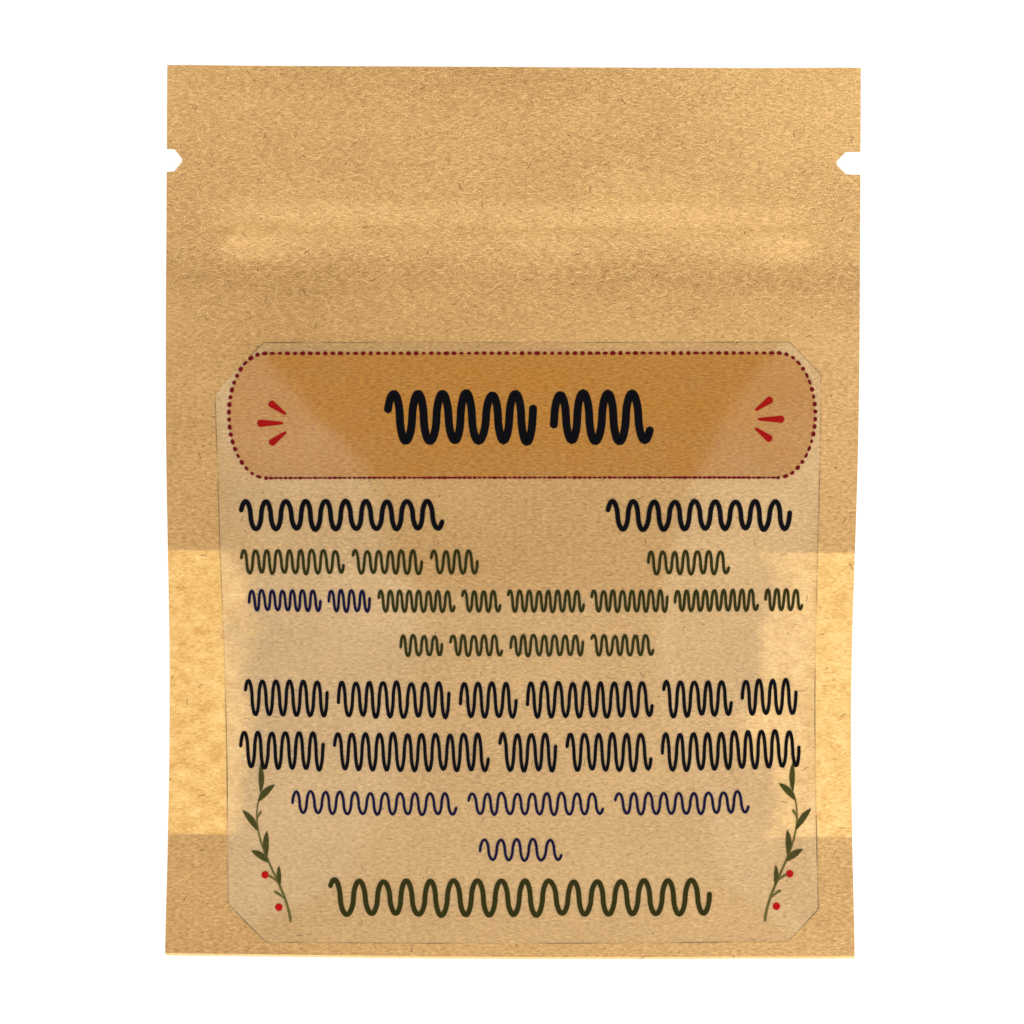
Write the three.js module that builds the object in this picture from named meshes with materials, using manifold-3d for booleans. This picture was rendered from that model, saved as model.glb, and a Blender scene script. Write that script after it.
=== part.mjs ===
// A shut kraft-paper sachet of granulated orange peel, lying on its back with its clear label up.
// Millimetres, +Z up, +Y towards the top of the sachet. The origin is the centre of the footprint,
// on the surface that the sachet lies on. The paper web is folded along the bottom edge, heat-sealed
// down both sides and across the top, and a press-to-close strip runs inside it under the tear notches.
// The contents lift the front panel into a low hipped mound.
import * as THREE from "three";
import { mergeVertices } from "three/addons/utils/BufferGeometryUtils.js";
import Module from "manifold-3d";

// The flat sachet
const PACK_WIDTH = 70;
const PACK_LENGTH = 90;
const SEALED_THICKNESS = 0.3; // two layers of paper laminate, heat-sealed together
const SIDE_SEAL = 4.5;

// The mound over the contents
const MOUND_HEIGHT = 3.8;
const SIDE_SLOPE = 0.19;
const TOP_SLOPE = 0.115;
const BOTTOM_SLOPE = 0.28;
const CROWN_DROP = 2.2; // how much lower the crown would be at the bottom fold than at the crest
const HIP_SOFTNESS = 0.7; // how far in height the creases between the slopes are rounded
const TOE_SOFTNESS = 0.5; // the same where a slope leaves a seal
const MOUND_MIDDLE_Y = -19; // where the mound draws the side edges in the most
const DRAW_IN_SPAN = 21;
const DRAW_IN_LEFT = 0.4;
const DRAW_IN_RIGHT = 0.55;

// The press-to-close strip, which shows as two ridges
const ZIP_RIDGES = [
  { middleY: 31, rise: 0.3 },
  { middleY: 27.7, rise: 0.55 },
];
const ZIP_RIDGE_HALF_WIDTH = 1.7;
const ZIP_LOWER_EDGE_Y = 25.3;
const CREST_Y = ZIP_LOWER_EDGE_Y - MOUND_HEIGHT / TOP_SLOPE;

// How the back lies: flat under the contents, lifted a little towards the edges
const FLAT_HALF_WIDTH = 23;
const FLAT_TOP_Y = 11;
const FLAT_BOTTOM_Y = -34;
const SIDE_LIFT = 0.45;
const TOP_LIFT = 1.1;
const BOTTOM_LIFT = 0.5;

// Tear notches, one in each side edge
const NOTCH_Y = 35.4;
const NOTCH_HEIGHT = 2.3;
const NOTCHES = [
  { side: -1, neck: 0.8, depth: 1.75 },
  { side: 1, neck: 1.5, depth: 2.5 },
];
const NOTCH_OVERRUN = 1; // how far the cutter starts outside the edge

// The clear label, which narrows a little towards the bottom, with clipped corners
const LABEL = { left: -30.0, right: 30.9, top: 17.1, bottom: -43.6, taper: 1.3, corner: 4.5 };
const LABEL_THICKNESS = 0.15;
const LABEL_GAP = 0.1;

// The grid that both solids are faceted on
const COLUMN_STEP = 2.5;
const ROW_STEP = 2.5;
const ZIP_ROW_STEP = 0.75;
const ZIP_BAND = [ZIP_LOWER_EDGE_Y - ZIP_ROW_STEP, ZIP_RIDGES[0].middleY + ZIP_RIDGE_HALF_WIDTH];

const wasm = await Module();
wasm.setup();

const clamp = THREE.MathUtils.clamp;
const smoothstep = THREE.MathUtils.smoothstep;

// The lower of two heights, rounded where they are within `softness` of each other.
function softMin(a, b, softness) {
  const overlap = Math.max(softness - Math.abs(a - b), 0) / softness;
  return Math.min(a, b) - (overlap * overlap * softness) / 4;
}

// A slope that starts at zero height, rounded at its toe.
function softSlope(rise) {
  return -softMin(-rise, 0, TOE_SOFTNESS) - TOE_SOFTNESS / 4;
}

// One round ridge of the press-to-close strip, seen across it.
function ridgeHeight({ middleY, rise }, y) {
  const across = clamp((y - middleY) / ZIP_RIDGE_HALF_WIDTH, -1, 1);
  return (rise * (1 + Math.cos(Math.PI * across))) / 2;
}

// How far the strip lifts the paper at a point; it fades out where the side seals press it flat.
function zipRelief(x, y) {
  const insideSeals = smoothstep(PACK_WIDTH / 2 - SIDE_SEAL - Math.abs(x), -0.5, 2);
  return insideSeals * ZIP_RIDGES.reduce((sum, ridge) => sum + ridgeHeight(ridge, y), 0);
}

// Height of the back panel above the surface that it lies on.
function backHeight(x, y) {
  const side = SIDE_LIFT * smoothstep(Math.abs(x), FLAT_HALF_WIDTH, PACK_WIDTH / 2);
  const top = TOP_LIFT * smoothstep(y, FLAT_TOP_Y, PACK_LENGTH / 2);
  const bottom = BOTTOM_LIFT * smoothstep(-y, -FLAT_BOTTOM_Y, PACK_LENGTH / 2);
  return side + top + bottom;
}

// Height of the front panel above the back panel: a hipped mound, and the strip's ridges.
function fillHeight(x, y) {
  const fromSide = SIDE_SLOPE * (PACK_WIDTH / 2 - SIDE_SEAL - Math.abs(x));
  const fromTop = TOP_SLOPE * (ZIP_LOWER_EDGE_Y - y);
  const fromBottom = BOTTOM_SLOPE * (y + PACK_LENGTH / 2);
  const slopes = softMin(fromSide, softMin(fromTop, fromBottom, HIP_SOFTNESS), HIP_SOFTNESS);
  const belowCrest = Math.max((CREST_Y - y) / (CREST_Y + PACK_LENGTH / 2), 0);
  const crown = MOUND_HEIGHT - (CROWN_DROP * (belowCrest + belowCrest ** 2)) / 2;
  const mound = softMin(slopes, crown, HIP_SOFTNESS);
  return Math.max(softSlope(mound), 0) + zipRelief(x, y);
}

function frontHeight(x, y) {
  return backHeight(x, y) + SEALED_THICKNESS + fillHeight(x, y);
}

// Moves a point of the flat sachet inwards where the mound has drawn the side edges in.
function drawnIn(x, y) {
  const drawIn = x < 0 ? DRAW_IN_LEFT : DRAW_IN_RIGHT;
  const along = (y - MOUND_MIDDLE_Y) / DRAW_IN_SPAN;
  return x * (1 - (drawIn * Math.exp(-along * along)) / (PACK_WIDTH / 2));
}

// Evenly spaced stations from one value to another, both included, at most `step` apart.
function stations(from, to, step) {
  const count = Math.ceil((to - from) / step);
  return Array.from({ length: count + 1 }, (_, i) => from + ((to - from) * i) / count);
}

const halfWidth = PACK_WIDTH / 2;
const halfLength = PACK_LENGTH / 2;
const columns = stations(-halfWidth, halfWidth, COLUMN_STEP);
const rows = [
  ...stations(-halfLength, ZIP_BAND[0], ROW_STEP),
  ...stations(ZIP_BAND[0], ZIP_BAND[1], ZIP_ROW_STEP).slice(1),
  ...stations(ZIP_BAND[1], halfLength, ROW_STEP).slice(1),
];

// A closed slab on the grid, whose under and upper faces follow two height functions.
function slab(underHeight, upperHeight) {
  const across = columns.length - 1;
  const along = rows.length - 1;
  const box = new THREE.BoxGeometry(across, along, 2, across, along, 1);
  const position = box.getAttribute("position");
  for (let i = 0; i < position.count; i++) {
    const flatX = columns[Math.round(position.getX(i) + across / 2)];
    const y = rows[Math.round(position.getY(i) + along / 2)];
    const height = position.getZ(i) > 0 ? upperHeight(flatX, y) : underHeight(flatX, y);
    position.setXYZ(i, drawnIn(flatX, y), y, height);
  }
  return box;
}

function toSolid(geometry) {
  const bare = geometry.clone();
  bare.deleteAttribute("normal");
  bare.deleteAttribute("uv");
  const merged = mergeVertices(bare, 1e-4);
  return new wasm.Manifold(
    new wasm.Mesh({
      numProp: 3,
      vertProperties: merged.getAttribute("position").array,
      triVerts: new Uint32Array(merged.index.array),
    }),
  );
}

function toGeometry(solid) {
  const mesh = solid.getMesh();
  const geometry = new THREE.BufferGeometry();
  geometry.setAttribute("position", new THREE.BufferAttribute(mesh.vertProperties, 3));
  geometry.setIndex(new THREE.BufferAttribute(mesh.triVerts, 1));
  geometry.computeVertexNormals();
  return geometry;
}

// A cutter or stencil through the whole sachet, from an outline seen from above.
function through(shape) {
  const depth = 4 * MOUND_HEIGHT;
  const prism = new THREE.ExtrudeGeometry(shape, { depth, bevelEnabled: false });
  return toSolid(prism.translate(0, 0, -depth / 4));
}

// A notch is punched square through the edge and runs on into a blunt point.
function notchCutter({ side, neck, depth }) {
  const edge = side * halfWidth;
  const inwards = -side;
  const half = NOTCH_HEIGHT / 2;
  const shape = new THREE.Shape();
  shape.moveTo(edge - inwards * NOTCH_OVERRUN, NOTCH_Y - half);
  shape.lineTo(edge + inwards * neck, NOTCH_Y - half);
  shape.lineTo(edge + inwards * depth, NOTCH_Y - half / 6);
  shape.lineTo(edge + inwards * depth, NOTCH_Y + half / 6);
  shape.lineTo(edge + inwards * neck, NOTCH_Y + half);
  shape.lineTo(edge - inwards * NOTCH_OVERRUN, NOTCH_Y + half);
  return through(shape);
}

function labelOutline() {
  const { left, right, top, bottom, taper, corner } = LABEL;
  const leftAtBottom = left + taper;
  const shape = new THREE.Shape();
  shape.moveTo(left + corner, top);
  shape.lineTo(left, top - corner);
  shape.lineTo(leftAtBottom, bottom + corner);
  shape.lineTo(leftAtBottom + corner, bottom);
  shape.lineTo(right - corner, bottom);
  shape.lineTo(right, bottom + corner);
  shape.lineTo(right, top - corner);
  shape.lineTo(right - corner, top);
  return through(shape);
}

function pouchGeometry() {
  const blank = toSolid(slab(backHeight, frontHeight));
  return toGeometry(NOTCHES.reduce((solid, notch) => solid.subtract(notchCutter(notch)), blank));
}

function labelGeometry() {
  const under = (x, y) => frontHeight(x, y) + LABEL_GAP;
  const upper = (x, y) => under(x, y) + LABEL_THICKNESS;
  return toGeometry(toSolid(slab(under, upper)).intersect(labelOutline()));
}

function named(name, geometry, material) {
  const mesh = new THREE.Mesh(geometry, material);
  mesh.name = name;
  return mesh;
}

const kraftPaper = new THREE.MeshStandardMaterial({
  color: 0xd3a86a,
  roughness: 0.75,
  metalness: 0,
});
const clearFilm = new THREE.MeshStandardMaterial({
  color: 0xd8c4a2,
  roughness: 0.25,
  metalness: 0,
  transparent: true,
  opacity: 0.35,
});

const sachet = new THREE.Group();
sachet.name = "kraft_sachet";
sachet.add(named("pouch", pouchGeometry(), kraftPaper));
sachet.add(named("label", labelGeometry(), clearFilm));

export default sachet;
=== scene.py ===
"""A shut kraft-paper sachet of granulated orange peel, lying on its back with its clear label up.

Lengths are in metres, +Z is up and +Y runs towards the sachet's top edge. "Flat" coordinates are those of
the sachet before it was filled: the surface rule in sachet_surface() turns them into the filled shape, and
every printed or stuck-on piece is drawn flat and then laid on the paper by the same rule.
"""

import math
from typing import NamedTuple

import bmesh
import bpy
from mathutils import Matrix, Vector


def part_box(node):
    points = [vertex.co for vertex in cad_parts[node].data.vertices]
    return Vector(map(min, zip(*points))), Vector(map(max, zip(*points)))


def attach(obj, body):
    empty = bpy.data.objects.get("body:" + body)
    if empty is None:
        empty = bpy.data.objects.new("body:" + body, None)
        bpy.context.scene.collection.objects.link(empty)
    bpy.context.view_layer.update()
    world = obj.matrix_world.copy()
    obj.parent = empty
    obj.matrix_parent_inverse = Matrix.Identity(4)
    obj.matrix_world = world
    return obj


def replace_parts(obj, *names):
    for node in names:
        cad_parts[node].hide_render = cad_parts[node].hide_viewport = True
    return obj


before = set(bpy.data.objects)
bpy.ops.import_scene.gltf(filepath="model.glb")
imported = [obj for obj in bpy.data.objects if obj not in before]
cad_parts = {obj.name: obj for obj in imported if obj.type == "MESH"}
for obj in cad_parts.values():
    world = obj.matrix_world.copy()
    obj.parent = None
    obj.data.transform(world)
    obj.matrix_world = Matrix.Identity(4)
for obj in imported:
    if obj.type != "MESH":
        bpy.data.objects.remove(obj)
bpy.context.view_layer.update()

MM = 0.001
BODY = "root"

# ------------------------------------------------------------------ the sachet's sizes, from the frame
pouch_low, pouch_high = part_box("pouch")
HALF_WIDTH = (pouch_high.x - pouch_low.x) / 2
HALF_LENGTH = (pouch_high.y - pouch_low.y) / 2

# ------------------------------------------------------------------ the paper and how it is filled
PAPER = 0.13 * MM  # one layer of the laminate
FOLD_RADIUS = 0.2 * MM

# The label was stuck on a little askew.
LABEL_MIDDLE = (0.0, -14 * MM, 0.0)
LABEL_TURN = math.radians(0.3)

SURFACE_SIZES = {
    "Half width": HALF_WIDTH,
    "Half length": HALF_LENGTH,
    "Sealed thickness": 0.3 * MM,
    "Side seal": 4.5 * MM,
    "Mound height": 3.8 * MM,
    "Left slope": 0.155,
    "Right slope": 0.235,
    "Left spread": 1.6 * MM,
    "Left bulge": 2.2 * MM,
    "Bulge middle": -5 * MM,
    "Pinch middle": 5 * MM,
    "Sway": 5 * MM,
    "Top slope": 0.115,
    "Bottom slope": 0.28,
    "Crown drop": 2.2 * MM,
    "Hip softness": 0.35 * MM,
    "Toe softness": 0.5 * MM,
    "Mound middle": -19 * MM,
    "Draw-in span": 21 * MM,
    "Draw-in left": 0.4 * MM,
    "Draw-in right": 0.55 * MM,
    "Flare": 0.2 * MM,
    "Bow": 0.3 * MM,
    "Zip lower edge": 25.3 * MM,
    "Upper ridge": 31.0 * MM,
    "Upper ridge rise": 0.3 * MM,
    "Lower ridge": 27.6 * MM,
    "Lower ridge rise": 0.55 * MM,
    "Ridge half width": 1.7 * MM,
    "Flat half width": 23 * MM,
    "Flat top": 11 * MM,
    "Flat bottom": 34 * MM,
    "Side lift": 0.45 * MM,
    "Top lift": 1.1 * MM,
    "Bottom lift": 0.5 * MM,
    "Flap wave": 0.35 * MM,
    "Cockle": 0.06 * MM,
    "Deepest cockle": -0.05 * MM,
    "Lumps": 0.12 * MM,
}


# ------------------------------------------------------------------ node graphs written as expressions
class Value:
    """A node's output that takes part in Python arithmetic: each operation adds its Math node."""

    def __init__(self, graph, socket):
        self.graph = graph
        self.socket = socket

    def math(self, operation, *terms):
        return self.graph.value("ShaderNodeMath", {"operation": operation}, terms)

    def __add__(self, other):
        return self.math("ADD", self, other)

    def __radd__(self, other):
        return self.math("ADD", other, self)

    def __sub__(self, other):
        return self.math("SUBTRACT", self, other)

    def __rsub__(self, other):
        return self.math("SUBTRACT", other, self)

    def __mul__(self, other):
        return self.math("MULTIPLY", self, other)

    def __rmul__(self, other):
        return self.math("MULTIPLY", other, self)

    def __truediv__(self, other):
        return self.math("DIVIDE", self, other)

    def __pow__(self, other):
        return self.math("POWER", self, other)

    def __neg__(self):
        return self.math("MULTIPLY", self, -1.0)

    def __abs__(self):
        return self.math("ABSOLUTE", self)

    def __lt__(self, other):
        return self.math("LESS_THAN", self, other)

    def __gt__(self, other):
        return self.math("GREATER_THAN", self, other)

    def at_least(self, other):
        return self.math("MAXIMUM", self, other)

    def at_most(self, other):
        return self.math("MINIMUM", self, other)

    def soft_min(self, other, softness):
        return self.math("SMOOTH_MIN", self, other, softness)

    def soft_max(self, other, softness):
        return self.math("SMOOTH_MAX", self, other, softness)

    def sine(self):
        return self.math("SINE", self)

    def cosine(self):
        return self.math("COSINE", self)

    def root(self):
        return self.math("SQRT", self)

    def bell(self):
        """1 at zero, falling away evenly on both sides to nearly 0 at 2."""
        return self.math("EXPONENT", -(self * self))

    def step(self, start, end):
        """0 before start, 1 after end, smooth between them; it falls where start is over end."""
        settings = {"interpolation_type": "SMOOTHSTEP"}
        sockets = {"Value": self, "From Min": start, "From Max": end}
        return self.graph.value("ShaderNodeMapRange", settings, sockets)


class Graph:
    """A node tree, and the ways to add nodes to it."""

    def __init__(self, tree):
        self.tree = tree

    def add(self, kind, settings=None, sockets=()):
        """Adds a node: its settings are set first, then its sockets by name or place."""
        node = self.tree.nodes.new(kind)
        for name, setting in (settings or {}).items():
            setattr(node, name, setting)
        named = sockets.items() if isinstance(sockets, dict) else enumerate(sockets)
        for key, given in named:
            self.feed(node.inputs[key], given)
        return node

    def feed(self, socket, given):
        source = given.socket if isinstance(given, Value) else given
        if isinstance(source, bpy.types.NodeSocket):
            self.tree.links.new(source, socket)
        else:
            socket.default_value = source

    def value(self, kind, settings=None, sockets=(), output=0):
        return Value(self, self.add(kind, settings, sockets).outputs[output])

    def vector(self, operation, *terms):
        return self.value("ShaderNodeVectorMath", {"operation": operation}, terms)

    def split(self, vector):
        node = self.add("ShaderNodeSeparateXYZ", sockets=[vector])
        return [Value(self, socket) for socket in node.outputs]

    def joined(self, x, y, z):
        return self.value("ShaderNodeCombineXYZ", sockets=[x, y, z])

    def noise(self, place, size, detail, seed):
        """Smooth noise from -1 to 1, whose lumps are about size across; size may differ by axis."""
        spread = size if isinstance(size, tuple) else (size, size, size)
        stretched = self.vector("MULTIPLY", place, tuple(1 / s for s in spread))
        sockets = {"Vector": stretched, "W": seed, "Scale": 1.0, "Detail": detail}
        return 2 * self.value("ShaderNodeTexNoise", {"noise_dimensions": "4D"}, sockets) - 1

    def mix(self, factor, first, second):
        """Two colours mixed; sockets 6 and 7 are the Mix node's colour inputs, and output 2 its colour."""
        sockets = {0: factor, 6: first, 7: second}
        return self.value("ShaderNodeMix", {"data_type": "RGBA"}, sockets, output=2)


def new_tree(name, sizes, outputs, takes_geometry=False):
    """A Geometry Nodes tree with a named float input for each size, and its inputs as values."""
    tree = bpy.data.node_groups.new(name, "GeometryNodeTree")
    if takes_geometry:
        tree.interface.new_socket("Geometry", in_out="INPUT", socket_type="NodeSocketGeometry")
    for size, amount in sizes.items():
        socket = tree.interface.new_socket(size, in_out="INPUT", socket_type="NodeSocketFloat")
        socket.default_value = amount
    for output, kind in outputs.items():
        tree.interface.new_socket(output, in_out="OUTPUT", socket_type=kind)
    graph = Graph(tree)
    inlet = graph.add("NodeGroupInput")
    given = {s.name: Value(graph, s) for s in inlet.outputs if s.name}
    return graph, given


def close_tree(graph, results):
    graph.add("NodeGroupOutput", sockets=results)


# ------------------------------------------------------------------ the surface rule
def sachet_surface():
    """The node group that turns flat coordinates into the filled sachet's: x, y and both panels' heights."""
    outputs = {name: "NodeSocketFloat" for name in ("Across", "Along", "Back", "Front")}
    graph, given = new_tree("sachet_surface", {"X": 0.0, "Y": 0.0, **SURFACE_SIZES}, outputs)
    x, y = given["X"], given["Y"]
    place = graph.joined(x, y, 0.0)

    def size(name):
        return given[name]

    half_width, half_length = size("Half width"), size("Half length")

    # The mound draws the side edges in, the paper above it flares a little, and the fold bows out.
    on_left = x < 0.0
    on_right = 1.0 - on_left
    drawn = on_left * size("Draw-in left") + on_right * size("Draw-in right")
    drawn = drawn * ((y - size("Mound middle")) / size("Draw-in span")).bell()
    flare = size("Flare") * ((y - size("Flat top")) / size("Draw-in span")).bell()
    across = x * (1.0 + (flare - drawn) / half_width)
    spread = x / half_width
    along = y - size("Bow") * (1.0 - spread * spread) * (-y).step(0.0, half_length)

    # The back lies flat under the contents and lifts a little towards the edges.
    flap_wave = graph.noise(place, (30 * MM, 70 * MM, 1.0), detail=1.0, seed=3.1) * size("Flap wave")
    on_flap = y.step(size("Flat top"), half_length)
    lift = (
        size("Side lift") * abs(x).step(size("Flat half width"), half_width)
        + (size("Top lift") + flap_wave) * on_flap
        + size("Bottom lift") * (-y).step(size("Flat bottom"), half_length)
    )
    back = lift.at_least(0.0)

    # The contents: a hipped mound between the seals, the press-to-close strip and the fold. Its left slope is
    # pinched in beside the banner's lower edge, and bulges out below that.
    bulge = ((y - size("Bulge middle")) / (4 * MM)).bell()
    pinch = ((y - size("Pinch middle")) / (5 * MM)).bell()
    left_spread = size("Left spread") + size("Left bulge") * (bulge - pinch)
    sway = size("Sway") * graph.noise(place, 18 * MM, detail=2.0, seed=7.7)
    side_slope = on_left * size("Left slope") + on_right * size("Right slope")
    to_seal = half_width - size("Side seal") - abs(x)
    from_side = side_slope * (to_seal + on_left * left_spread + sway)
    from_top = size("Top slope") * (size("Zip lower edge") - y)
    from_bottom = size("Bottom slope") * (y + half_length)
    crest = size("Zip lower edge") - size("Mound height") / size("Top slope")
    below_crest = ((crest - y) / (crest + half_length)).at_least(0.0)
    crown = size("Mound height") - size("Crown drop") * (below_crest + below_crest * below_crest) / 2
    softness = size("Hip softness")
    hipped = from_side.soft_min(from_top, softness).soft_min(from_bottom, 2 * softness)
    mound = hipped.soft_min(crown, softness).soft_max(0.0, size("Toe softness"))

    # The press-to-close strip lifts two ridges, which the side seals press flat at their ends.
    inside_seals = to_seal.step(-0.5 * MM, 2 * MM)

    def ridge(middle_y, rise):
        part = ((y - middle_y) / size("Ridge half width")).at_least(-1.0).at_most(1.0)
        return rise * (1.0 + (math.pi * part).cosine()) / 2.0

    ridges = ridge(size("Upper ridge"), size("Upper ridge rise"))
    crushed_end = 0.6 + 0.8 * abs(x).step(20 * MM, 27 * MM)
    ridges = ridges + ridge(size("Lower ridge"), size("Lower ridge rise") * crushed_end)

    # Paper cockles a little everywhere except in the hard-pressed seals.
    cockle = size("Cockle") * graph.noise(place, 7 * MM, detail=2.0, seed=11.3) * (0.3 + 0.7 * inside_seals)
    fullness = (mound / size("Mound height")).at_most(1.0)
    lumps = size("Lumps") * graph.noise(place, 9 * MM, detail=1.0, seed=14.9) * fullness
    unevenness = cockle.at_least(size("Deepest cockle")) + lumps
    front = back + size("Sealed thickness") + mound + ridges * inside_seals + unevenness
    close_tree(graph, {"Across": across, "Along": along, "Back": back, "Front": front})
    return graph.tree


SURFACE = sachet_surface()


def on_surface(graph, x, y):
    """The surface rule at flat coordinates: x and y on the filled sachet, back height, front height."""
    node = graph.add("GeometryNodeGroup", {"node_tree": SURFACE}, {"X": x, "Y": y})
    return [Value(graph, node.outputs[name]) for name in ("Across", "Along", "Back", "Front")]


def grown(name, sizes, make, material, flat=None):
    """A plain mesh object made by a Geometry Nodes tree, which is then taken off it."""
    outputs = {"Geometry": "NodeSocketGeometry"}
    graph, given = new_tree(name, sizes, outputs, takes_geometry=flat is not None)
    made = graph.value("GeometryNodeRealizeInstances", sockets=[make(graph, given)])
    painted = graph.value("GeometryNodeSetMaterial", sockets={"Geometry": made, "Material": material})
    close_tree(graph, [painted])
    carrier = bpy.data.objects.new(name, flat or bpy.data.meshes.new(name + "_flat"))
    bpy.context.scene.collection.objects.link(carrier)
    modifier = carrier.modifiers.new(name, "NODES")
    modifier.node_group = graph.tree
    for item in graph.tree.interface.items_tree:
        if item.in_out == "INPUT" and item.name in sizes:
            modifier[item.identifier] = sizes[item.name]
    return settled(carrier)


def settled(obj):
    """Replaces an object's mesh by what its modifiers make of it, and takes them off."""
    evaluated = obj.evaluated_get(bpy.context.evaluated_depsgraph_get())
    mesh = bpy.data.meshes.new_from_object(evaluated)
    mesh.name = obj.name
    obj.modifiers.clear()
    obj.data = mesh
    return obj


def laid(graph, geometry, lift):
    """Lays flat geometry on the front panel with the label's turn, lift above the paper's outer face."""
    place = graph.value("GeometryNodeInputPosition")
    turned = graph.value("ShaderNodeVectorRotate", {"rotation_type": "Z_AXIS"}, {
        "Vector": place, "Center": LABEL_MIDDLE, "Angle": LABEL_TURN,
    })
    x, y, _ = graph.split(turned)
    across, along, _, front = on_surface(graph, x, y)
    sockets = {"Geometry": geometry, "Position": graph.joined(across, along, front + lift)}
    return graph.value("GeometryNodeSetPosition", sockets=sockets)


def thickened(obj, thickness, rim_slot=0):
    """Gives a sheet its thickness, half to each side."""
    solidify = obj.modifiers.new("thickness", "SOLIDIFY")
    solidify.thickness = thickness
    solidify.offset = 0.0
    solidify.material_offset_rim = rim_slot
    return settled(obj)


def smooth(obj, sharpest=math.radians(40)):
    mesh = obj.data
    mesh.polygons.foreach_set("use_smooth", [True] * len(mesh.polygons))
    mesh.set_sharp_from_angle(angle=sharpest)
    return obj


def ride(piece):
    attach(piece, BODY)
    return piece


def colour(red, green, blue):
    """A linear colour from the 0 to 255 values that a paint chart gives."""
    def linear(share):
        return share / 12.92 if share <= 0.04045 else ((share + 0.055) / 1.055) ** 2.4
    return (linear(red / 255), linear(green / 255), linear(blue / 255), 1.0)


# ------------------------------------------------------------------ materials
def new_material(name):
    material = bpy.data.materials.new(name)
    material.use_nodes = True
    material.node_tree.nodes.clear()
    return material, Graph(material.node_tree)


def shown(graph, shader):
    graph.add("ShaderNodeOutputMaterial", sockets={"Surface": shader})


def here(graph):
    """The place on the piece, in the sachet's own frame."""
    return graph.value("ShaderNodeTexCoord", output="Object")


class Fibre(NamedTuple):
    """A kind of fibre or fleck in the paper. At most one lies in each cell."""

    cell: float
    length: float
    width: float
    share: float  # of the cells, how many hold one
    lean: float  # how far it may turn from the web's direction, in radians
    seed: float


FIBRE_BEND = 1.6  # how far the most bent fibres bow, against their length


def fibres(graph, place, kind):
    """Short bent fibres of one kind: 1 on a fibre and 0 off it. The seed shifts the cells."""
    cell, length, width, share, lean, seed = kind
    shifted = graph.vector("ADD", place, (seed * cell, seed * 1.7 * cell, 0.0))
    sockets = {"Vector": shifted, "Scale": 1 / cell}
    cells = graph.add("ShaderNodeTexVoronoi", {"voronoi_dimensions": "2D"}, sockets)
    x, y, _ = graph.split(graph.vector("SUBTRACT", shifted, cells.outputs["Position"]))
    draw, turn, bend = graph.split(cells.outputs["Color"])
    angle = (turn - 0.5) * (2 * lean)
    run = x * angle.cosine() + y * angle.sine()
    off = y * angle.cosine() - x * angle.sine() + (bend - 0.5) * run * run * (FIBRE_BEND / length)
    near = abs(off).step(width / 2, width / 8)
    within = abs(run).step(length / 2, length / 3)
    return near * within * (draw < share)


KRAFT_DARK = colour(138, 97, 42)
KRAFT_LIGHT = colour(226, 182, 115)
PAINTED_GLOW_DARK = colour(190, 140, 64)  # painted light: the paper's tone where light would come through from the back
PAINTED_GLOW_LIGHT = colour(235, 195, 124)
FIBRE_PALE = colour(228, 194, 134)
FIBRE_DARK = colour(84, 50, 20)

PALE_FIBRES = (
    Fibre(0.5 * MM, 0.6 * MM, 0.1 * MM, 0.5, 0.9, seed=1.0),
    Fibre(0.8 * MM, 0.9 * MM, 0.11 * MM, 0.5, 0.8, seed=3.0),
)
DARK_FIBRES = (
    Fibre(0.45 * MM, 0.6 * MM, 0.12 * MM, 0.5, 0.9, seed=5.0),
    Fibre(0.6 * MM, 0.7 * MM, 0.1 * MM, 0.5, 0.6, seed=7.0),
)
HAIRS = (
    Fibre(1.9 * MM, 1.1 * MM, 0.09 * MM, 0.6, math.pi, seed=1.0),
    Fibre(2.7 * MM, 1.6 * MM, 0.1 * MM, 0.5, math.pi, seed=5.0),
)
SHIVE = Fibre(5.5 * MM, 0.8 * MM, 0.13 * MM, 0.5, math.pi, seed=9.0)
FLECK = Fibre(1.8 * MM, 0.5 * MM, 0.1 * MM, 0.4, 0.8, seed=13.0)
SPECK = Fibre(4.5 * MM, 0.26 * MM, 0.2 * MM, 0.4, math.pi, seed=17.0)

GLOW_LOW, GLOW_HIGH = -32.8 * MM, -4.0 * MM  # the bottom and the top of the pale bands of painted light
GLOW_EDGE = 0.2 * MM
SHADED_DIP_Y = 23.8 * MM  # the dip just under the press-to-close strip, where shade is painted
FOLD_LINE = (0.26 * MM, 0.18 * MM)  # how far from the fold its pale line, paled pulp and painted highlight, starts to show, and is full
LIGHTEST_TONE = 1.35


def felt(graph, place, rubbed):
    """The web's fine pulp, the grain that the pulp and its pale and dark fibres make, and the specks in it.

    The sachet is rubbed smoother over its contents than on the stiff flap, and its grain is a little
    stronger towards the right.
    """
    grain = graph.noise(place, (0.7 * MM, 0.1 * MM, 1.0), detail=2.0, seed=1.0)
    speckle = graph.noise(place, 0.1 * MM, detail=1.0, seed=2.0)
    nap = graph.noise(place, (0.5 * MM, 0.22 * MM, 1.0), detail=1.0, seed=8.0)
    crisp = 0.72 * grain + 0.86 * speckle
    soft = 0.2 * grain + 0.2 * speckle + 0.52 * nap
    pulp = crisp + (soft - crisp) * rubbed
    pale = fibres(graph, place, PALE_FIBRES[0]) + fibres(graph, place, PALE_FIBRES[1])
    dark = fibres(graph, place, DARK_FIBRES[0]) + fibres(graph, place, DARK_FIBRES[1])
    strands = (0.42 * pale - 0.24 * dark) * (1.0 - 0.33 * rubbed)
    strength = 1.08 + 0.13 * (graph.split(place)[0] / HALF_WIDTH)
    return pulp, (pulp + strands) * strength, speckle


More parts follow.
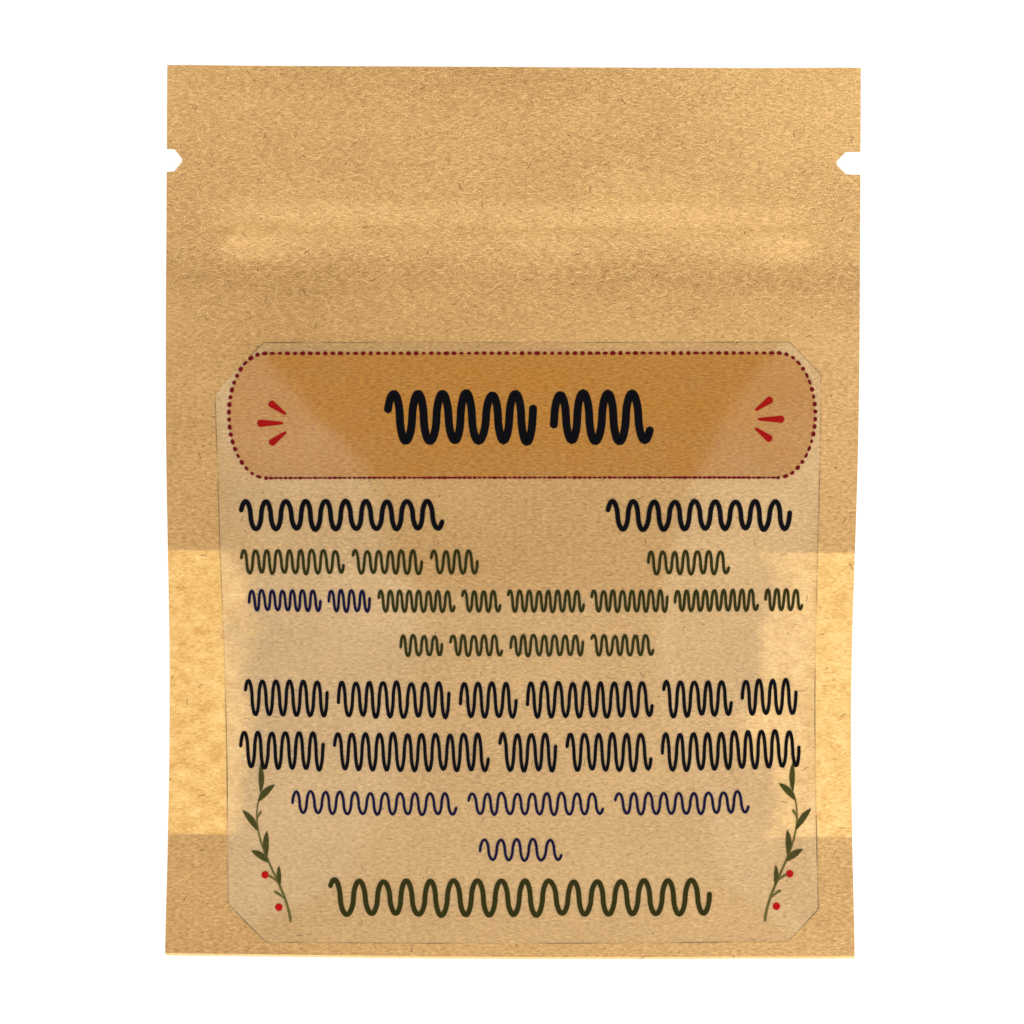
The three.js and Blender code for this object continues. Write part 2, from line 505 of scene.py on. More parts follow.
def strip_and_ridge_highlight(graph, place, formation):
    """How much paler the paper is over the press-to-close strip: partly the white strip inside it, partly
    painted highlight on its ridges, most of all at their crushed ends.
    """
    x, y, _ = graph.split(place)
    over_strip = y.step(26 * MM, 29.5 * MM) * y.step(35 * MM, 30 * MM) * abs(x).step(33 * MM, 27 * MM)
    # Painted highlight on the crushed ends of the ridges.
    ends = abs(x).step(20 * MM, 27 * MM) * abs(x).step(31 * MM, 28 * MM)
    ends = ends * y.step(24.6 * MM, 26.4 * MM) * y.step(30 * MM, 28 * MM)
    return over_strip * (0.16 + 0.15 * formation) + ends * (0.24 + 0.35 * formation)


def painted_light_through(graph, place):
    """Painted light: where light would show through from behind, on the front only, in a band across the
    sachet and beside the contents.
    """
    x, y, _ = graph.split(place)
    in_band = y.step(GLOW_LOW - GLOW_EDGE, GLOW_LOW + GLOW_EDGE)
    in_band = in_band * y.step(GLOW_HIGH + GLOW_EDGE, GLOW_HIGH - GLOW_EDGE)
    wander = 5 * MM * graph.noise(place, 5 * MM, detail=3.0, seed=5.0)
    right_reach = 3 * MM * (x > 0.0) * ((y + 21 * MM) / (7 * MM)).bell()
    beside_contents = (HALF_WIDTH - abs(x) + wander - right_reach).step(9.5 * MM, 6 * MM)
    facing = graph.split(graph.value("ShaderNodeTexCoord", output="Normal"))[2]
    return in_band * beside_contents * (facing > 0.0)


def kraft_paper():
    """Kraft paper whose tone, from dark to light, gathers its pulp, clouds, strip, folds and edges, and
    painted light and shade.
    """
    material, graph = new_material("kraft_paper")
    place = here(graph)
    x, y, _ = graph.split(place)
    rubbed = y.step(25 * MM, 13 * MM)
    pulp, grain, speckle = felt(graph, place, rubbed)
    cloud = graph.noise(place, (14 * MM, 7 * MM, 1.0), detail=3.0, seed=4.0)
    formation = graph.noise(place, (1.8 * MM, 1.2 * MM, 1.0), detail=3.0, seed=6.0)
    # Painted light: the paper is painted paler towards the right, as if lit more strongly from that side.
    tone = 0.55 + grain + 0.22 * cloud + 0.09 * (x / HALF_WIDTH)
    # Paler over the strip, partly painted highlight on its ridges.
    tone = tone + strip_and_ridge_highlight(graph, place, formation)
    # Darker below the strip, and painted shade in the dip just under it.
    tone = tone - 0.065 * y.step(27 * MM, 20 * MM) - 0.11 * ((y - SHADED_DIP_Y) / (2 * MM)).bell()
    # Painted light: the flap's top corners paler, the right one most, where the flap lifts and light gets
    # behind it, and its middle a little darker.
    painted_flap_light = y.step(30 * MM, HALF_LENGTH) * (abs(x).step(5 * MM, HALF_WIDTH) - 0.25)
    tone = tone + painted_flap_light * (0.21 + 0.07 * (x > 0.0))
    # The paper is painted paler in the bands where light would come through from the back.
    paper = graph.mix(
        painted_light_through(graph, place),
        graph.mix((tone / LIGHTEST_TONE).at_least(0.0).at_most(1.0), KRAFT_DARK, KRAFT_LIGHT),
        graph.mix((tone - 0.05 + 0.7 * formation).at_least(0.0).at_most(1.0), PAINTED_GLOW_DARK, PAINTED_GLOW_LIGHT),
    )

    # Stray long hairs, brown shives and flecks, and the fold, where bending has paled the pulp and a painted
    # highlight runs along the crease.
    hair = fibres(graph, place, HAIRS[0]).at_least(fibres(graph, place, HAIRS[1]))
    hair = 0.42 * hair * (1.0 - 0.5 * rubbed)
    fold_y = -HALF_LENGTH - SURFACE_SIZES["Bow"] * (1.0 - (x / HALF_WIDTH) ** 2.0)
    folded = (y - fold_y).step(*FOLD_LINE)
    paper = graph.mix(hair.at_least(0.9 * folded), paper, FIBRE_PALE)
    shive, fleck, speck = (fibres(graph, place, kind) for kind in (SHIVE, FLECK, SPECK))
    brown = (0.85 * shive).at_least(0.4 * fleck).at_least(0.8 * speck)
    paper = graph.mix(brown, paper, FIBRE_DARK)

    sockets = {"Strength": 0.3, "Distance": 0.02 * MM, "Height": pulp}
    shader = graph.add("ShaderNodeBsdfPrincipled", sockets={
        "Base Color": paper,
        "Roughness": 0.6 + 0.1 * speckle,
        "Specular IOR Level": 0.35,
        "Normal": graph.value("ShaderNodeBump", sockets=sockets),
    })
    shown(graph, shader.outputs[0])
    return material


def paper_edge():
    """The cut edge of the laminate, a little paler than its face."""
    material, graph = new_material("paper_edge")
    pulp = graph.noise(here(graph), 0.2 * MM, detail=2.0, seed=21.0)
    shader = graph.add("ShaderNodeBsdfPrincipled", sockets={
        "Base Color": graph.mix(0.5 + 0.5 * pulp, colour(186, 142, 82), colour(216, 176, 116)),
        "Roughness": 0.8,
    })
    shown(graph, shader.outputs[0])
    return material


def clear_label():
    material, graph = new_material("clear_label")
    place = here(graph)
    haze = graph.noise(place, 14 * MM, detail=2.0, seed=31.0)
    scuff = graph.noise(place, (1.5 * MM, 0.5 * MM, 1.0), detail=3.0, seed=32.0)
    shader = graph.add("ShaderNodeBsdfPrincipled", sockets={
        "Base Color": graph.mix(0.5 + 0.5 * haze, colour(156, 113, 44), colour(176, 131, 60)),
        "Roughness": 0.31 + 0.06 * scuff,
        "IOR": 2.1,
        "Specular Tint": (1.0, 1.0, 0.81, 1.0),
        "Specular IOR Level": 1.0,
        "Alpha": 0.09 + 0.02 * haze,
    })
    shown(graph, shader.outputs[0])
    return material


def label_edge():
    """A thin dark line of painted shade along the film's cut edge, stronger in patches."""
    material, graph = new_material("label_edge")
    edge_shade = graph.noise(here(graph), 5 * MM, detail=3.0, seed=33.0)
    shader = graph.add("ShaderNodeBsdfPrincipled", sockets={
        "Base Color": graph.mix(0.5 + 0.5 * edge_shade, colour(70, 52, 34), colour(96, 76, 50)),
        "Roughness": 0.5,
        "Alpha": (0.15 + 0.7 * edge_shade).at_least(0.03).at_most(0.45),
    })
    shown(graph, shader.outputs[0])
    return material


def printing_ink(name, first, second):
    """Matt ink with the slight mottle of a desktop print."""
    material, graph = new_material(name)
    mottle = graph.noise(here(graph), 0.25 * MM, detail=3.0, seed=41.0)
    shader = graph.add("ShaderNodeBsdfPrincipled", sockets={
        "Base Color": graph.mix(0.5 + 0.8 * mottle, first, second),
        "Roughness": 0.55 + 0.1 * mottle,
        "Specular IOR Level": 0.03,
    })
    shown(graph, shader.outputs[0])
    return material


def band_ink():
    """The banner's see-through orange, through which the paper shows."""
    material, graph = new_material("band_ink")
    place = here(graph)
    mottle = graph.noise(place, (0.6 * MM, 0.16 * MM, 1.0), detail=3.0, seed=42.0)
    uneven = graph.noise(place, (5 * MM, 3 * MM, 1.0), detail=3.0, seed=43.0)
    # The orange is laid thinner, so lighter, towards the banner's lower edge.
    thinner_below = graph.split(place)[1].step(BANNER["Middle Y"], BANNER["Middle Y"] - BANNER["Half height"])
    shader = graph.add("ShaderNodeBsdfPrincipled", sockets={
        "Base Color": graph.mix(0.5 + 1.4 * mottle, colour(222, 148, 28), colour(172, 102, 2)),
        "Roughness": 0.3 + 0.04 * mottle,
        "Specular IOR Level": 0.35,
        "Alpha": 0.31 + 0.26 * mottle + 0.12 * uneven - 0.05 * thinner_below,
    })
    shown(graph, shader.outputs[0])
    return material


# ------------------------------------------------------------------ printed shapes
class Drawing:
    """Flat pen strokes, each a run of points in millimetres with its greatest width."""

    def __init__(self):
        self.points = []
        self.edges = []
        self.features = {"half_width": [], "wave_height": [], "wave_pitch": []}

    def stroke(self, points, width=0.0, end_width=None, wave_height=0.0, wave_pitch=1.0):
        """Adds one stroke, which tapers evenly where end_width is given, and may swing as a wave."""
        first = len(self.points)
        last = len(points) - 1
        end_width = width if end_width is None else end_width
        for i, (x, y) in enumerate(points):
            self.points.append((x * MM, y * MM, 0.0))
            self.features["half_width"].append((width + (end_width - width) * i / last) * MM / 2)
            self.features["wave_height"].append(wave_height * MM)
            self.features["wave_pitch"].append(wave_pitch * MM)
        self.edges += [(first + i, first + i + 1) for i in range(last)]

    def mesh(self, name):
        mesh = bpy.data.meshes.new(name + "_strokes")
        mesh.from_pydata(self.points, self.edges, [])
        for feature, amounts in self.features.items():
            mesh.attributes.new(feature, "FLOAT", "POINT").data.foreach_set("value", amounts)
        return mesh


def feature(graph, name):
    return graph.value("GeometryNodeInputNamedAttribute", {"data_type": "FLOAT"}, [name])


def resampled(graph, curves, step):
    return graph.value("GeometryNodeResampleCurve", {"mode": "LENGTH"}, {"Curve": curves, "Length": step})


WAVE_UNEVENNESS = 0.9  # in radians of a turn
WAVE_FULLNESS = 0.55  # 1 is a sine wave; less makes steeper sides and rounder ends


def swung(graph, curves, step):
    """Swings straight strokes up and down as a hand-drawn wave, each turn a little unlike the last."""
    curves = resampled(graph, curves, step)
    along = graph.value("GeometryNodeSplineParameter", output="Length")
    place = graph.value("GeometryNodeInputPosition")
    height, pitch = feature(graph, "wave_height"), feature(graph, "wave_pitch")
    turns = graph.vector("DIVIDE", place, graph.joined(pitch, pitch, pitch))
    unsteady = graph.noise(turns, 1.3, detail=1.0, seed=51.0)
    swing = (2 * math.pi * (along / pitch) + WAVE_UNEVENNESS * unsteady).sine()
    reach = height / 2 * (1.0 + 0.2 * unsteady) * abs(swing) ** WAVE_FULLNESS
    side = (swing > 0.0) * 2.0 - 1.0
    offset = graph.joined(0.0, side * reach, 0.0)
    return graph.value("GeometryNodeSetPosition", sockets={"Geometry": curves, "Offset": offset})


STROKE_SIZES = {
    "Wave step": 0.04 * MM,  # along a stroke before it is swung as a wave
    "Step": 0.16 * MM,  # along the finished stroke
    "Leaf": 0.0,  # 0 for a pen stroke with round ends, 1 for a leaf that swells in its middle
    "Lift": 0.12 * MM,  # above the paper
}
INK = 0.03 * MM  # how thick the ink stands


def inked(name, drawing, material, across=3, wavy=False, **sizes):
    """Strokes as ribbons with round ends, laid on the sachet and given the ink's thickness."""
    sizes = {**STROKE_SIZES, **sizes}

    def make(graph, given):
        curves = graph.value("GeometryNodeMeshToCurve", sockets=[given["Geometry"]])
        if wavy:
            curves = swung(graph, curves, given["Wave step"])
        curves = resampled(graph, curves, given["Step"])
        curves = graph.value("GeometryNodeSetCurveNormal", {"mode": "Z_UP"}, {"Curve": curves})
        half_width = feature(graph, "half_width")
        share = graph.value("GeometryNodeSplineParameter")
        done = graph.value("GeometryNodeSplineParameter", output="Length")
        whole = graph.value("GeometryNodeSplineLength")
        from_end = done.at_most(whole - done)
        inset = 1.0 - (from_end / half_width).at_most(1.0)
        pen = (1.0 - inset * inset).at_least(0.0).root()
        leaf = (math.pi * share).sine().at_least(0.0) ** 0.8
        swell = (given["Leaf"] * leaf + (1.0 - given["Leaf"]) * pen).at_least(0.02)
        sockets = {"Start": (-1, 0, 0), "End": (1, 0, 0)}
        nib = graph.value("GeometryNodeCurvePrimitiveLine", {"mode": "POINTS"}, sockets)
        nib = graph.value("GeometryNodeResampleCurve", {"mode": "COUNT"}, {"Curve": nib, "Count": across})
        ribbons = graph.value("GeometryNodeCurveToMesh", sockets={
            "Curve": curves, "Profile Curve": nib, "Scale": half_width * swell,
        })
        return laid(graph, ribbons, given["Lift"])

    return smooth(thickened(grown(name, sizes, make, material, drawing.mesh(name)), INK))


# ------------------------------------------------------------------ the paper web
WEB_SIZES = {
    "Half width": HALF_WIDTH,
    "Half length": HALF_LENGTH,
    "Paper": PAPER,
    "Fold radius": FOLD_RADIUS,
}
NOTCH_Y = 35.4 * MM
NOTCH_HEIGHT = 2.3 * MM
NOTCHES = ((-1, 0.7 * MM, 1.5 * MM), (1, 1.4 * MM, 2.35 * MM))  # side, square part, whole depth
COLUMNS, FRONT_ROWS, BACK_ROWS = 120, 170, 90
ROW_CROWDING = 1.25  # over 1, the rows draw together towards the fold


def paper_web(material, edge_material):
    """The folded web: the back panel, the fold at the bottom and the front panel over the contents."""

    def make(graph, given):
        rows = FRONT_ROWS + BACK_ROWS
        grid = graph.value("GeometryNodeMeshGrid", sockets={
            "Size X": 2 * given["Half width"],
            "Size Y": 1.0,
            "Vertices X": COLUMNS + 1,
            "Vertices Y": rows + 1,
        })
        x, station, _ = graph.split(graph.value("GeometryNodeInputPosition"))
        row = (station + 0.5) * rows - BACK_ROWS
        on_front = row > 0.0
        share = on_front * row / FRONT_ROWS + (1.0 - on_front) * (-row) / BACK_ROWS
        from_fold = 2 * given["Half length"] * share ** ROW_CROWDING
        y = from_fold - given["Half length"]
        across, along, back, front = on_surface(graph, x, y)

        # The middle of each layer. The two draw together into a round turn at the fold.
        upper, lower = front - given["Paper"] / 2, back + given["Paper"] / 2
        centre = (upper + lower) / 2
        turn = 1.0 - (from_fold / given["Fold radius"]).at_most(1.0)
        opening = (1.0 - turn * turn).root()
        height = centre + (on_front * upper + (1.0 - on_front) * lower - centre) * opening
        return graph.value("GeometryNodeSetPosition", sockets={
            "Geometry": grid, "Position": graph.joined(across, along, height),
        })

    web = grown("paper_web", WEB_SIZES, make, material)
    web.data.materials.append(edge_material)
    web = thickened(web, PAPER, rim_slot=1)
    for side, neck, depth in NOTCHES:
        cutter = notch_cutter(side, neck, depth, edge_material)
        cut = web.modifiers.new("notch", "BOOLEAN")
        cut.operation = "DIFFERENCE"
        cut.solver = "EXACT"
        cut.material_mode = "TRANSFER"
        cut.object = cutter
        settled(web)
        bpy.data.objects.remove(cutter)
    return web


def notch_cutter(side, neck, depth, material):
    """A prism that punches one tear notch: square at the edge, then running into a blunt point."""
    half = NOTCH_HEIGHT / 2
    overrun, under, height = 1 * MM, 5 * MM, 15 * MM
    outline = [
        (-overrun, -half),
        (neck, -half),
        (depth, -half / 6),
        (depth, half / 6),
        (neck, half),
        (-overrun, half),
    ]
    prism = bmesh.new()
    places = [(side * (HALF_WIDTH - inwards), NOTCH_Y + up, -under) for inwards, up in outline]
    face = prism.faces.new([prism.verts.new(place) for place in places])
    raised = bmesh.ops.extrude_face_region(prism, geom=[face])["geom"]
    for vertex in (part for part in raised if isinstance(part, bmesh.types.BMVert)):
        vertex.co.z += height
    bmesh.ops.recalc_face_normals(prism, faces=prism.faces)
    mesh = bpy.data.meshes.new("notch")
    prism.to_mesh(mesh)
    prism.free()
    mesh.materials.append(material)
    cutter = bpy.data.objects.new("notch", mesh)
    bpy.context.scene.collection.objects.link(cutter)
    return cutter


# ------------------------------------------------------------------ the clear label
LABEL = {
    "Left": -29.9 * MM,
    "Right": 31.25 * MM,
    "Top": 17.15 * MM,
    "Bottom": -43.35 * MM,
    "Taper": 1.1 * MM,
    "Corner": 5.0 * MM,
    "Low corner": 3.9 * MM,
    "Right corner": 3.2 * MM,
    "Corner softness": 1.0 * MM,
    "Lift": 0.06 * MM,
}
FILM = 0.05 * MM
FILM_GRID = (120, 130)  # columns and rows
BANNER_GRID = (120, 40)
BORDER_WIDTH = 0.1  # in millimetres, as all strokes are
BORDER_SIZES = {"Step": 0.3 * MM, "Lift": 0.09 * MM}
BANNER = {
    "Middle X": 1.1 * MM,
    "Middle Y": 9.75 * MM,
    "Half width": 29.6 * MM,
    "Half height": 6.3 * MM,
    "End radius": 3.7 * MM,
    "Lift": 0.095 * MM,
}


def flat_panel(name, sizes, cells, outline, material, thickness):
    """A sheet on the sachet: outline(graph, given, across, along) places the points of a grid on it."""

    def make(graph, given):
        columns, rows = cells
        grid = graph.value("GeometryNodeMeshGrid", sockets={
            "Size X": 2.0, "Size Y": 2.0, "Vertices X": columns + 1, "Vertices Y": rows + 1,
        })
        across, along, _ = graph.split(graph.value("GeometryNodeInputPosition"))
        x, y = outline(graph, given, across, along)
        flat = graph.value("GeometryNodeSetPosition", sockets={
            "Geometry": grid, "Position": graph.joined(x, y, 0.0),
        })
        return laid(graph, flat, given["Lift"])

    return smooth(thickened(grown(name, sizes, make, material), thickness))


def label_outline(graph, given, across, along):
    """A rectangle that narrows on its left towards the bottom, with clipped and slightly soft corners."""
    half = (given["Top"] - given["Bottom"]) / 2
    y = given["Bottom"] + half * (1.0 + along)
    to_end = half - half * abs(along)
    left_corner = given["Low corner"] + (given["Corner"] - given["Low corner"]) * (along > 0.0)
    left_clip = (left_corner - to_end).soft_max(0.0, given["Corner softness"])
    right_clip = (given["Right corner"] - to_end).soft_max(0.0, given["Corner softness"])
    left = given["Left"] + given["Taper"] * (1.0 - along) / 2 + left_clip
    right = given["Right"] - right_clip
    return left + (right - left) * (across + 1.0) / 2, y


def banner_outline(graph, given, across, along):
    """A band with half ellipses for its ends."""
    rise = (math.pi / 2 * along).sine()
    reach = (math.pi / 2 * along).cosine()
    half_width = given["Half width"] - given["End radius"] * (1.0 - reach)
    return given["Middle X"] + across * half_width, given["Middle Y"] + rise * given["Half height"]


END_PARTS = 24  # how many straight parts the outline has round each end of the banner


def banner_path(ends):
    """The points of the banner's outline in millimetres, round one end (1 right, -1 left) and the other."""
    points = []
    for end in ends:
        for i in range(END_PARTS + 1):
            angle = end * (math.pi / 2 - math.pi * i / END_PARTS)
            reach = BANNER["Half width"] - BANNER["End radius"] * (1 - math.cos(angle))
            x = BANNER["Middle X"] + end * reach
            y = BANNER["Middle Y"] + BANNER["Half height"] * math.sin(angle)
            points.append((x / MM, y / MM))
    return points


def label_path():
    """The corners of the label's outline in millimetres, once round."""
    label = {name: size / MM for name, size in LABEL.items()}
    left, right, top, bottom = label["Left"], label["Right"], label["Top"], label["Bottom"]
    corner, low_corner, right_corner = label["Corner"], label["Low corner"], label["Right corner"]
    taper = label["Taper"]
    points = [
        (left + corner, top),
        (right - right_corner, top),
        (right, top - right_corner),
        (right, bottom + right_corner),
        (right - right_corner, bottom),
        (left + taper + low_corner, bottom),
        (left + taper, bottom + low_corner),
        (left, top - corner),
    ]
    return points + points[:1]


DOTS = {"Pitch": 0.76 * MM, "Length": 0.5 * MM, "Width": 0.38 * MM, "Lift": 0.13 * MM}
DASHES = {"Pitch": 0.5 * MM, "Length": 0.5 * MM, "Width": 0.24 * MM, "Lift": 0.13 * MM}


def beaded(name, drawing, material, sizes):
    """Dots of ink along a path, each a little different from the next."""

    def make(graph, given):
        curves = graph.value("GeometryNodeMeshToCurve", sockets=[given["Geometry"]])
        sockets = {"Curve": curves, "Length": given["Pitch"]}
        beads = graph.value("GeometryNodeResampleCurve", {"mode": "LENGTH"}, sockets)
        tangent = graph.value("GeometryNodeInputTangent")
        along = graph.value("FunctionNodeAlignRotationToVector", {"axis": "X"}, {"Vector": tangent})
        disc = graph.value("GeometryNodeMeshCircle", {"fill_type": "NGON"}, {"Vertices": 10, "Radius": 0.5})
        spread = graph.value("FunctionNodeRandomValue", {"data_type": "FLOAT_VECTOR"}, {
            0: (0.75, 0.75, 1.0), 1: (1.25, 1.2, 1.0), "Seed": 5,
        })
        size = graph.vector("MULTIPLY", spread, graph.joined(given["Length"], given["Width"], 1.0))
        placed = graph.value("GeometryNodeInstanceOnPoints", sockets={
            "Points": beads, "Instance": disc, "Rotation": along, "Scale": size,
        })
        return laid(graph, graph.value("GeometryNodeRealizeInstances", sockets=[placed]), given["Lift"])

    return smooth(thickened(grown(name, sizes, make, material, drawing.mesh(name)), INK))


# The lines of print, in millimetres: middle y, height, left, right, pen width, ink, turns in each word's wave
PRINT_LINES = [
    (9.55, 5.6, -12.4, 14.0, 0.8, "black_ink", (6, 4)),
    (-0.3, 3.3, -27.4, -6.9, 0.48, "black_ink", (10,)),
    (-0.35, 3.3, 9.7, 28.3, 0.48, "black_ink", (9,)),
    (-5.0, 2.6, -27.4, -3.4, 0.29, "olive_ink", (9, 6, 4)),
    (-5.1, 2.5, 13.8, 22.1, 0.29, "olive_ink", (7,)),
    (-8.9, 2.4, -26.7, -14.3, 0.28, "navy_ink", (7, 4)),
    (-8.9, 2.4, -13.4, 29.8, 0.28, "olive_ink", (8, 4, 8, 8, 9, 4)),
    (-13.3, 2.3, -11.2, 14.4, 0.28, "olive_ink", (4, 5, 7, 6)),
    (-18.7, 3.8, -27.2, 29.3, 0.34, "black_ink", (6, 8, 4, 9, 5, 4)),
    (-23.95, 4.0, -27.7, 29.6, 0.34, "black_ink", (6, 11, 4, 6, 10)),
    (-29.1, 2.4, -22.3, 24.2, 0.28, "navy_ink", (11, 9, 9)),
    (-33.7, 2.4, -3.2, 5.1, 0.28, "navy_ink", (5,)),
    (-38.6, 3.9, -18.4, 20.1, 0.5, "olive_ink", (16,)),
]
WORD_GAP = 0.8  # in turns of the wave


def print_words(drawing, middle_y, height, left, right, pen, words):
    """Draws a line of print as waves, one for each word, with as many turns as words gives it."""
    pitch = (right - left) / (sum(words) + WORD_GAP * (len(words) - 1))
    start = left
    for turns in words:
        end = start + turns * pitch
        word = [(start, middle_y), (end, middle_y)]
        drawing.stroke(word, pen, wave_height=height - pen, wave_pitch=pitch)
        start = end + WORD_GAP * pitch


RAY_MIDDLES = ((-21.45, 9.0), (23.35, 9.35))  # the points that the rays stand round
RAYS = ((-36, 3.65), (0, 4.2), (36, 3.65))  # each ray's lean in degrees, and how far out it reaches
RAY_START = 1.45
RAY_WIDTHS = (0.82, 0.24)


def rays(drawing, middle_x, middle_y, side):
    """Three drops of ink round a point at one end of the banner, with their thin ends towards it."""
    for lean, reach in RAYS:
        across = side * math.cos(math.radians(lean))
        along = math.sin(math.radians(lean))
        drop, tip = ((middle_x + r * across, middle_y + r * along) for r in (reach, RAY_START))
        drawing.stroke([drop, tip], *RAY_WIDTHS)


def bezier(first, second, third, fourth, share):
    """A point of the cubic curve with these four control points, and its direction as an angle."""
    rest = 1 - share
    weights = (rest**3, 3 * rest * rest * share, 3 * rest * share * share, share**3)
    slopes = (
        -3 * rest * rest,
        3 * rest * (rest - 2 * share),
        3 * share * (2 * rest - share),
        3 * share * share,
    )
    corners = (first, second, third, fourth)
    x, y = (sum(w * corner[axis] for w, corner in zip(weights, corners)) for axis in (0, 1))
    run, rise = (sum(w * corner[axis] for w, corner in zip(slopes, corners)) for axis in (0, 1))
    return (x, y), math.atan2(rise, run)


STEM = ((-22.4, -41.25), (-22.6, -37.25), (-27.3, -33.3), (-25.6, -28.3))
STEM_WIDTHS = (0.26, 0.1)
SPRIG_MIDDLE = 1.65  # the two sprigs are mirror images about this x
LEAVES = [  # share of the stem, lean from it in degrees, length and width in millimetres
    (1.0, 20, 3.0, 0.56),
    (0.94, -32, 2.5, 0.66),
    (0.73, 26, 2.7, 0.62),
    (0.53, -24, 2.7, 0.6),
    (0.49, 32, 2.2, 0.66),
    (0.3, -22, 2.1, 0.46),
]
CURLS = [(0.81, -30, 1.1), (0.19, 34, 1.5), (0.33, 30, 1.3)]  # share of the stem, lean, length
BERRIES = [(-25.05, -36.5), (-23.6, -39.7)]
CURL_WIDTHS = (0.1, 0.28)
BERRY_SIZE = 0.76
STEM_PARTS, LEAF_PARTS = 24, 4


def bent(base, heading, lean, length):
    """The points of a leaf or shoot that leaves the stem and curves away from it."""
    part = length / LEAF_PARTS
    points = [base]
    for i in range(LEAF_PARTS):
        angle = heading + math.radians(lean * (0.7 + 0.2 * i))
        x, y = points[-1]
        points.append((x + part * math.cos(angle), y + part * math.sin(angle)))
    return points


def sprig(stems, leaves, berries, mirrored):
    """A sprig with leaves and berries at the label's left, or its mirror image at the right."""

    def turned(points):
        return [(2 * SPRIG_MIDDLE - x, y) for x, y in points] if mirrored else points

    stem = [bezier(*STEM, i / STEM_PARTS)[0] for i in range(STEM_PARTS + 1)]
    stems.stroke(turned(stem), *STEM_WIDTHS)
    for share, lean, length, width in LEAVES:
        leaves.stroke(turned(bent(*bezier(*STEM, share), lean, length)), width)
    for share, lean, length in CURLS:
        stems.stroke(turned(bent(*bezier(*STEM, share), lean, length)), *CURL_WIDTHS)
    for x, y in BERRIES:
        berries.stroke(turned([(x - BERRY_SIZE / 2, y), (x + BERRY_SIZE / 2, y)]), BERRY_SIZE)


INKS = {  # the two tones that each ink is mottled between
    "black_ink": ((3, 3, 6), (9, 9, 14)),
    "navy_ink": ((12, 10, 34), (22, 18, 50)),
    "olive_ink": ((32, 31, 6), (50, 47, 14)),
    "maroon_ink": ((106, 12, 22), (78, 6, 12)),
    "red_ink": ((170, 14, 16), (146, 8, 12)),
    "green_ink": ((44, 42, 14), (74, 72, 32)),
    "stem_ink": ((66, 64, 24), (104, 98, 48)),
    "ray_ink": ((150, 16, 12), (124, 8, 8)),
}


def printed_words(inks):
    """The lines of print, in one piece for each ink."""
    drawings = {ink: Drawing() for ink in ("black_ink", "navy_ink", "olive_ink")}
    for middle_y, height, left, right, pen, ink, words in PRINT_LINES:
        print_words(drawings[ink], middle_y, height, left, right, pen, words)
    for ink, drawing in drawings.items():
        ride(inked("print_" + ink, drawing, inks[ink], wavy=True))


def banner_border(inks):
    """Dots round the ends and the top of the banner, and fine dashes along its bottom."""
    dotted, dashed = Drawing(), Drawing()
    dotted.stroke(banner_path((-1, 1)))
    dashed.stroke(banner_path((1, -1))[END_PARTS:END_PARTS + 2])
    ride(beaded("banner_dots", dotted, inks["maroon_ink"], DOTS))
    ride(beaded("banner_dashes", dashed, inks["maroon_ink"], DASHES))


def ornaments(inks):
    """The rays at the banner's ends, and the sprigs in the label's lower corners."""
    ray_strokes, stems, leaves, berries = Drawing(), Drawing(), Drawing(), Drawing()
    for side, middle in zip((-1, 1), RAY_MIDDLES):
        rays(ray_strokes, *middle, side)
    for mirrored in (False, True):
        sprig(stems, leaves, berries, mirrored)
    ride(inked("banner_rays", ray_strokes, inks["ray_ink"]))
    ride(inked("sprig_stems", stems, inks["stem_ink"]))
    ride(inked("sprig_leaves", leaves, inks["green_ink"], across=5, Leaf=1.0))
    ride(inked("sprig_berries", berries, inks["red_ink"], Step=0.05 * MM))


def label_art():
    """All that is printed on the label."""
    banner = flat_panel("label_banner", BANNER, BANNER_GRID, banner_outline, band_ink(), INK)
    ride(banner)
    inks = {ink: printing_ink(ink, colour(*first), colour(*second)) for ink, (first, second) in INKS.items()}
    printed_words(inks)
    banner_border(inks)
    ornaments(inks)


def sachet():
    """The whole sachet: the paper web, and the clear label with all that is printed on it."""
    web = ride(smooth(paper_web(kraft_paper(), paper_edge())))
    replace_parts(web, "pouch")
    film = flat_panel("label_film", LABEL, FILM_GRID, label_outline, clear_label(), FILM)
    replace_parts(ride(film), "label")
    # The label's border: a thin dark line of painted shade along the film's edge.
    border = Drawing()
    border.stroke(label_path(), BORDER_WIDTH)
    ride(inked("label_border", border, label_edge(), **BORDER_SIZES))
    label_art()


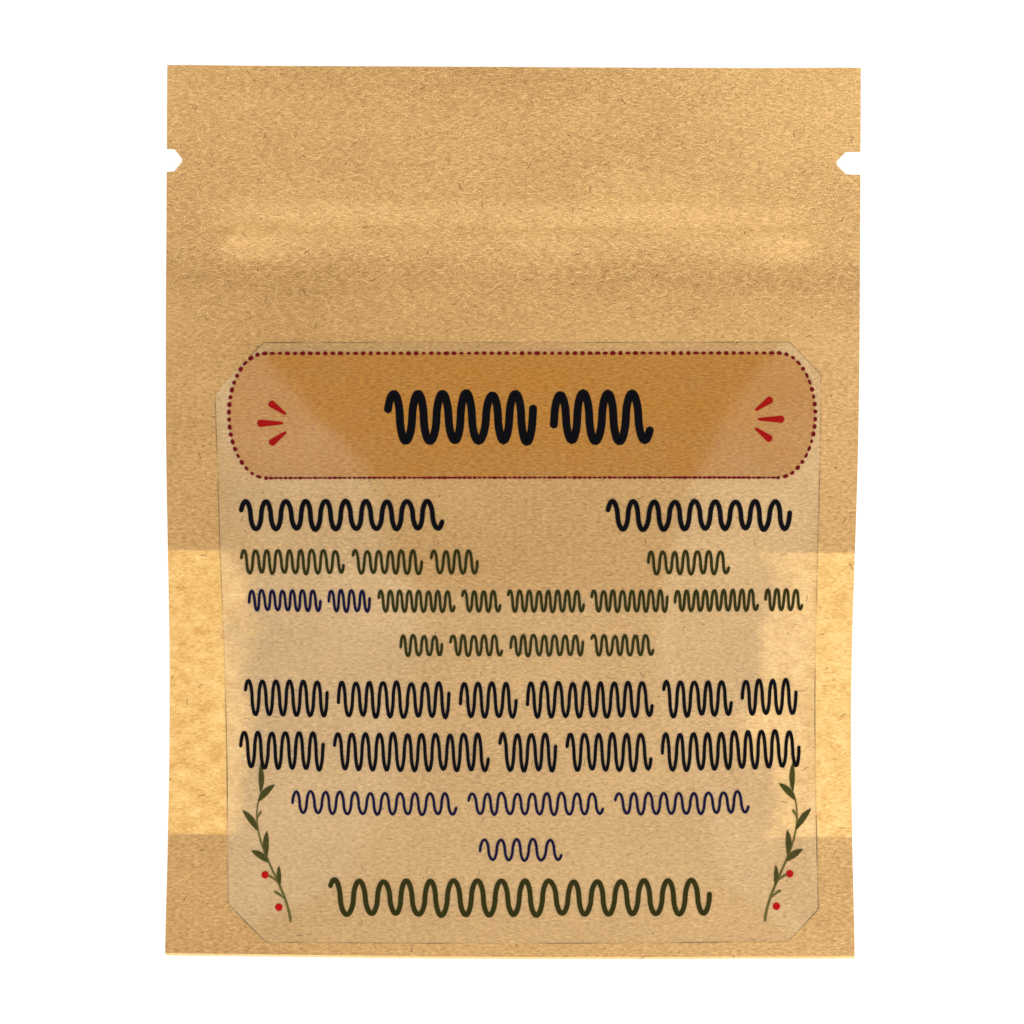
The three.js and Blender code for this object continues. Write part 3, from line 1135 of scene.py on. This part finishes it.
# ------------------------------------------------------------------ the studio
FLOOR_HALF_SIZE = 1.5
FLOOR_GAP = 0.02 * MM
SEEN_WIDTH = 104.15 * MM  # how much the camera sees across the middle of the sachet
LENS, SENSOR = 85.0, 36.0
CAMERA_ROLL = math.radians(0.25)
SKY_STRENGTH = 0.4
SOFTBOXES = [  # name, azimuth and elevation in degrees, width, height, watts, distance
    ("left", -90, 66, 0.42, 0.26, 1.1, 0.6),
    ("right", 90, 56, 0.44, 0.38, 1.35, 0.5),
    ("near", 0, 59, 0.7, 0.62, 2.4, 0.6),
]


def added(name, data):
    piece = bpy.data.objects.new(name, data)
    bpy.context.scene.collection.objects.link(piece)
    return piece


def pale_floor():
    """A white table top, which glows a little so that it stays nearly white beside the sachet."""
    half = FLOOR_HALF_SIZE
    level = pouch_low.z - FLOOR_GAP
    corners = [(-half, -half, level), (half, -half, level), (half, half, level), (-half, half, level)]
    mesh = bpy.data.meshes.new("floor")
    mesh.from_pydata(corners, [], [(0, 1, 2, 3)])
    material, graph = new_material("floor")
    shader = graph.add("ShaderNodeBsdfPrincipled", sockets={
        "Base Color": (0.9, 0.9, 0.9, 1.0),
        "Roughness": 0.9,
        "Emission Color": (1.0, 1.0, 1.0, 1.0),
        "Emission Strength": 0.3,
    })
    shown(graph, shader.outputs[0])
    mesh.materials.append(material)
    floor = added("floor", mesh)


def white_sky():
    world = bpy.data.worlds.new("studio")
    world.use_nodes = True
    background = world.node_tree.nodes["Background"]
    background.inputs["Color"].default_value = (1, 1, 1, 1)
    background.inputs["Strength"].default_value = SKY_STRENGTH
    bpy.context.scene.world = world


def softbox(name, azimuth, elevation, width, height, power, distance):
    """A rectangular lamp that faces the middle of the sachet."""
    data = bpy.data.lights.new(name, "AREA")
    data.shape = "RECTANGLE"
    data.size, data.size_y = width, height
    data.energy = power
    light = added(name, data)
    a, e = math.radians(azimuth), math.radians(elevation)
    back = Vector((math.sin(a) * math.cos(e), -math.cos(a) * math.cos(e), math.sin(e)))
    light.location = back * distance
    light.rotation_euler = (-back).to_track_quat("-Z", "Y").to_euler()


def camera_above():
    data = bpy.data.cameras.new("camera")
    data.lens = LENS
    data.sensor_width = SENSOR
    data.clip_start = 0.01
    camera = added("camera", data)
    camera.location = (0.0, 0.0, SEEN_WIDTH * LENS / SENSOR)
    camera.rotation_euler = (0.0, 0.0, CAMERA_ROLL)
    bpy.context.scene.camera = camera


sachet()
pale_floor()
white_sky()
for box in SOFTBOXES:
    softbox(*box)
camera_above()
bpy.context.scene.view_settings.view_transform = "Standard"
